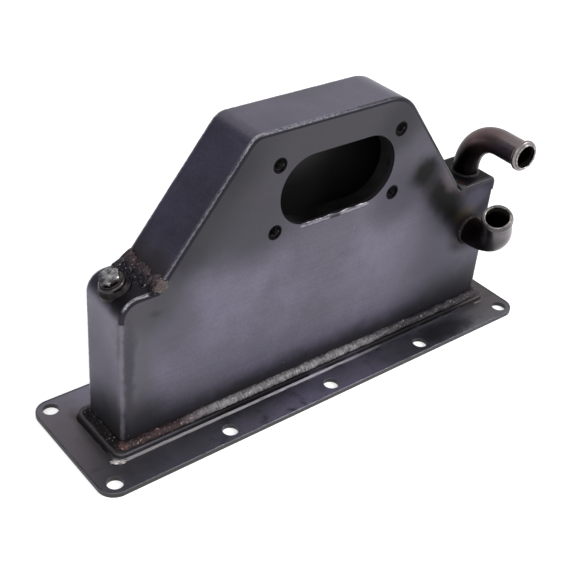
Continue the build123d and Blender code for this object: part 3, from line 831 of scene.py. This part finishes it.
class OBJECT_OT_cooler_details(bpy.types.Operator):
    """Adds spatter, threads and dark rims that paint shade in the port holes, the port's burr, and painted
    highlights on the flange's edge, in the root of the dish, at its front left corner and on the pipes' lips
    """
    bl_idname = "object.cooler_details"
    bl_label = "Small details"

    def execute(self, context):
        look, size = context.scene.cooler_steel, context.scene.cooler_welds
        self.spatter(look, size)
        self.threads()
        self.burr(look)
        self.hole_rims()
        self.flange_edge()
        self.paint_root_highlight()
        self.paint_corner_highlight()
        self.pipe_lips()
        return {"FINISHED"}

    def spatter(self, look, size):
        """Drops of weld metal on the front panel and on the rim of the flange, near the bead."""
        count, smallest, on_panel = 16, 0.35, 0.5
        chance = random.Random(11)
        mesh = bmesh.new()
        for _ in range(count):
            x = chance.uniform(LEFT, RIGHT)
            away = abs(chance.gauss(0, 1))
            radius = size.spatter * chance.uniform(smallest, 1.0)
            if chance.random() < on_panel:
                spot = Vector((x, FRONT, DISH_TOP + (4 + 9 * away) * MM))
            else:
                spot = Vector((x, FRONT - (8.5 + 5 * away) * MM, FLANGE_SHEET * MM))
            before = set(mesh.verts)
            bmesh.ops.create_icosphere(mesh, subdivisions=1, radius=radius)
            added = [v for v in mesh.verts if v not in before]
            bmesh.ops.translate(mesh, verts=added, vec=spot)
        # Grey beads of weld metal with a few light specks that paint glints
        thrown = weld_metal("Weld spatter", look.bead, glints=0.3)
        finished(mesh, "weld_spatter", thrown, "weld_metal")

    def threads(self):
        """One turned ridge per hole, wound along the hole."""
        mesh = bmesh.new()
        turns, steps, pitch, wall, ridge = 6, 20, 1.25 * MM, 3.45 * MM, 0.4 * MM
        for centre in port_holes(1.2 * MM):
            tip = [
                mesh.verts.new(centre + Vector((reach, along, 0)))
                for reach, along in ((wall, -0.4 * pitch), (wall - ridge, 0), (wall, 0.4 * pitch))
            ]
            profile = mesh.faces.new(tip)
            bmesh.ops.spin(
                mesh, geom=[profile], cent=centre, axis=(0, 1, 0), dvec=(0, pitch / steps, 0),
                angle=2 * math.pi * turns, steps=steps * turns, use_merge=False,
            )
        # Dark grooves between ridges that glint where the tap cut them, kept dark as painted shade inside the
        # holes
        cut = ground_steel("Cut thread", "#4b494c", "#111012")
        finished(mesh, "port_threads", cut, "machined_plate")

    def hole_rims(self):
        """Black rings on the chamfers of the port holes: painted shade round each hole."""
        mesh = bmesh.new()
        for centre in port_holes(0):
            section = [
                centre + Vector((reach * MM, depth * MM, 0))
                for reach, depth in ((3.3, 0.9), (4.35, -0.04), (4.9, -0.04), (5.0, 0.2), (3.45, 1.2))
            ]
            turn_ring(mesh, section, centre, (0, 1, 0), steps=32)
        # Nearly black ring that sets off each hole: painted shade
        rim_shade = ground_steel("Painted shade, hole chamfers", "#111012", "#080809", roughness=0.5)
        finished(mesh, "port_hole_rims", rim_shade, "machined_plate")

    def burr(self, look):
        """Lip that the file left along the lower edge of the port, light in colour as a painted highlight."""
        count, half, below_edge, sunk = 90, 30, 2.3, 1.0
        path = []
        for i in range(count + 1):
            x = 2 * half * i / count - half
            past_flat = max(0, abs(x) - PORT_FLAT)
            z = PORT_LOW - below_edge + PORT_ROUND - math.sqrt(PORT_ROUND ** 2 - past_flat ** 2)
            corner = Vector(((PORT_X + x) * MM, FRONT + sunk * MM, z * MM))
            path.append((corner, UP, Vector((0, -1, 0))))
        mesh = lay_bead(
            path, rise=2.6 * MM, reach=1.25 * MM, fullness=2.6,
            lumps=0.16, taper=5 * MM, seed=7.0, columns=10,
        )
        # Light file marks that also paint the edge's highlight, darker in the middle where the painted
        # highlight breaks
        filed_highlight = ground_steel("Painted highlight, filed edge", "#858387", look.sheet, stains_and_shading=[
            ((4, -19, 118), (6, 20, 20), 0, "#3a393c", 1.5),
        ])
        finished(mesh, "port_edge_burr", filed_highlight, "ground_weld")

    def flange_edge(self):
        """Painted highlight: a light line along the sheared top edge of the flange."""
        inset, radius, sunk = 0.75 * MM, 10.25 * MM, 0.12
        left, front = FLANGE_LOW[0] + inset, FLANGE_LOW[1] + inset
        right, rear = FLANGE_HIGH[0] - inset, FLANGE_HIGH[1] - inset
        height = (FLANGE_SHEET - sunk) * MM
        path = level_loop(left, right, front, rear, [radius] * 4, step=2 * MM, height=height)
        mesh = lay_bead(path, rise=0.4 * MM, reach=0.62 * MM, fullness=1.3, lumps=0.1, seed=4.0, columns=6)
        # A thin light line between the dark top and the black side: a painted highlight on the edge
        edge_highlight = ground_steel("Painted highlight, flange edge", "#69676b", "#434146", stroke=9)
        finished(mesh, "flange_edge", edge_highlight, "bare_steel_flange")

    def paint_root_highlight(self):
        """Painted highlight: a light line in the root of the dish."""
        left, front, radius = DISH_LEFT * MM, DISH_FRONT * MM, 6 * MM
        path = level_loop(
            left, -left, front, -front, [radius] * 4, step=1 * MM, height=FLANGE_SHEET * MM, sunk=0.1 * MM,
        )
        mesh = lay_bead(path, rise=1.6 * MM, reach=1.5 * MM, fullness=1.0, lumps=0.12, seed=2.0, columns=8)
        # A painted highlight along the root, lightest towards the front left, with painted shade over it on
        # the ends, the rear and to the right
        root_highlight_paint = steel("Painted highlight, dish root", "#5a585d", "#4d4b50", roughness=0.4, streak=(20, 2, 2), stains_and_shading=[
            ((-115, -26, 3), (70, 12, 12), 0, "#737072", 0.9),
            ((125, -26, 3), (120, 12, 12), 0, "#2b2a2d", 1.6),
            ((-150, 6, 3), (12, 30, 12), 0, "#242326", 2.0),
            ((0, 26, 3), (260, 20, 12), 0, "#2b2a2d", 2.0),
        ])
        finished(mesh, "root_highlight_line", root_highlight_paint, "bare_steel_flange")

    def paint_corner_highlight(self):
        """Painted highlight in the root of the dish at the front left corner, shaped as a small light lump.
        """
        place = [c * MM for c in (DISH_LEFT + 0.6, DISH_FRONT + 0.6, FLANGE_SHEET + 0.5)]
        mesh = drop((4.8, 2.0, 1.5), place, turn=-28, unevenness=0.3, grain=1.9, seed=0)
        # Light pinkish grey with light specks, the brightest on the part: a painted highlight where the root
        # of the dish turns the corner
        bright = weld_metal("Painted highlight, dish corner", "#a39e9e", glints=0.9)
        finished(mesh, "dish_corner_highlight", bright, "weld_metal")

    def pipe_lips(self):
        """Rounded lips on the mouths of the hose pipes, light in colour as a painted highlight."""
        mesh = bmesh.new()
        for mount in frame["record"]["mounts"]:
            if not mount["name"].endswith("pipe_mouth"):
                continue
            axis = Vector(mount["axis"]).normalized()
            bore = mount["dims"]["r_mm"] * MM
            mouth = Vector(mount["pos_m"]) + axis * mount["dims"]["length_mm"] / 2 * MM
            side = axis.orthogonal().normalized()
            section = [
                mouth + side * (bore + reach * MM) + axis * height * MM
                for reach, height in (
                    (-0.05, -1.5), (-0.05, 0.1), (0.25, 0.3), (0.75, 0.3), (1.1, 0.05), (1.15, -0.6),
                )
            ]
            turn_ring(mesh, section, mouth, axis, steps=64)
        # The lightest metal of the pipes: a painted highlight round each mouth, with darker strokes
        lip_highlight = ground_steel("Painted highlight, pipe lips", "#a19c9a", "#3d3a3a", stroke=2.4)
        finished(mesh, "pipe_lips", lip_highlight, "heat_tinted_tube")


class OBJECT_OT_cooler_stage(bpy.types.Operator):
    """Sets up the floor, the surroundings, the lamps and the camera"""
    bl_idname = "object.cooler_stage"
    bl_label = "Studio"

    def execute(self, context):
        scene, studio = context.scene, context.scene.cooler_studio
        self.floor(studio)
        self.flag()
        self.surroundings(scene, studio)
        self.lamp(scene, "key_lamp", place=(0.95, -1.0, 1.25), size=(0.7, 0.7), power=17)
        self.lamp(scene, "fill_lamp", place=(-1.0, -1.1, 0.9), size=(0.9, 0.6), power=5)
        eye = bpy.data.cameras.new("camera")
        eye.lens = studio.lens
        camera = bpy.data.objects.new("camera", eye)
        camera.location = studio.eye
        camera.rotation_euler = studio.turn
        scene.collection.objects.link(camera)
        scene.camera = camera
        scene.view_settings.view_transform = "Standard"
        return {"FINISHED"}

    def plane(self, name, material, half_side):
        """A flat square of the stage, which faces up."""
        mesh = bmesh.new()
        bmesh.ops.create_grid(mesh, x_segments=1, y_segments=1, size=half_side)
        plane = placed(mesh, name, material)
        return plane

    def looked_at(self, tree):
        """1 where the camera, a mirror or glass looks at the surface, 0 where it only lights something."""
        path = add(tree, "LightPath")
        direct = add(tree, "Math", {
            0: path.outputs["Is Camera Ray"], 1: path.outputs["Is Glossy Ray"],
        }, operation="ADD")
        return add(tree, "Math", {
            0: direct, 1: path.outputs["Is Transmission Ray"],
        }, operation="ADD", use_clamp=True)

    def floor(self, studio):
        """Pale floor just under the flange, that the object's shadow falls on."""
        # Even and bright, it takes only a soft shadow
        material, tree, _ = new_tree("Matt white paper")
        matt = add(tree, "BsdfDiffuse", {"Color": studio.floor})
        floor_glow = 0.5
        lift = add(tree, "Math", {0: self.looked_at(tree), 1: floor_glow}, operation="MULTIPLY")
        glow = add(tree, "Emission", {"Color": (1, 1, 1, 1), "Strength": lift})
        both = add(tree, "AddShader", {0: matt, 1: glow})
        add(tree, "OutputMaterial", {"Surface": both})
        gap = 0.1 * MM
        floor = self.plane("floor", material, half_side=3.0)
        floor.location.z = FLANGE_LOW[2] - gap

    def flag(self):
        """Card behind the left end, out of the camera's sight, that the slopes of the hood reflect."""
        # Mid grey without any shine, darker than the studio round it
        material, tree, _ = new_tree("Pressed grey felt")
        felt = add(tree, "BsdfDiffuse", {"Color": "#8e8e97"})
        add(tree, "OutputMaterial", {"Surface": felt})
        flag = self.plane("dark_flag", material, half_side=0.62)
        distance, middle = 1.15, Vector((-0.08, 0, 0.14))
        away = Vector((-0.62, 0.66, 0.36)).normalized() * distance
        flag.location = away + middle
        flag.rotation_euler = (-away).to_track_quat("Z", "Y").to_euler()
        flag.visible_camera = False
        flag.visible_diffuse = False
        flag.visible_shadow = False

    def surroundings(self, scene, studio):
        """White surroundings that light the object softly from all sides."""
        world = bpy.data.worlds.new("Soft studio")
        world.use_nodes = True
        tree = world.node_tree
        tree.nodes.clear()
        strength = add(tree, "MapRange", {"Value": self.looked_at(tree), "To Min": studio.sky, "To Max": 1.0})
        sky = add(tree, "Background", {"Color": (1, 1, 1, 1), "Strength": strength})
        add(tree, "OutputWorld", {"Surface": sky})
        scene.world = world

    def lamp(self, scene, name, place, size, power):
        """Soft area lamp that faces the middle of the object."""
        data = bpy.data.lights.new(name, "AREA")
        data.shape = "RECTANGLE"
        data.size, data.size_y = size
        data.energy = power
        lamp = bpy.data.objects.new(name, data)
        lamp.location = place
        facing = Vector((0, 0, CROWN / 2)) - Vector(place)
        lamp.rotation_euler = facing.to_track_quat("-Z", "Y").to_euler()
        scene.collection.objects.link(lamp)


PIECES = (
    OBJECT_OT_cooler_stage,
    OBJECT_OT_cooler_panels,
    OBJECT_OT_cooler_flange,
    OBJECT_OT_cooler_core,
    OBJECT_OT_cooler_pipes,
    OBJECT_OT_cooler_vent,
    OBJECT_OT_cooler_base_weld,
    OBJECT_OT_cooler_foot_welds,
    OBJECT_OT_cooler_seams,
    OBJECT_OT_cooler_ring_welds,
    OBJECT_OT_cooler_details,
)


class VIEW3D_PT_cooler(bpy.types.Panel):
    """Lists the settings and the operators of the oil cooler"""
    bl_label = "Oil Cooler"
    bl_idname = "VIEW3D_PT_cooler"
    bl_space_type = "VIEW_3D"
    bl_region_type = "UI"
    bl_category = "Oil Cooler"

    def draw(self, context):
        for setting in SETTINGS:
            group = getattr(context.scene, setting)
            box = self.layout.box()
            for name in group.__annotations__:
                box.prop(group, name)
        for piece in PIECES:
            self.layout.operator(piece.bl_idname)


SETTINGS = {"cooler_studio": CoolerStudio, "cooler_steel": CoolerSteel, "cooler_welds": CoolerWelds}
KINDS = (*SETTINGS.values(), *PIECES, VIEW3D_PT_cooler)


def register():
    for kind in KINDS:
        bpy.utils.register_class(kind)
    for name, kind in SETTINGS.items():
        setattr(bpy.types.Scene, name, bpy.props.PointerProperty(type=kind))


def unregister():
    for name in SETTINGS:
        delattr(bpy.types.Scene, name)
    for kind in reversed(KINDS):
        bpy.utils.unregister_class(kind)


def main():
    register()
    for piece in PIECES:
        group, operator = piece.bl_idname.split(".")
        getattr(getattr(bpy.ops, group), operator)()


if __name__ == "__main__":
    main()
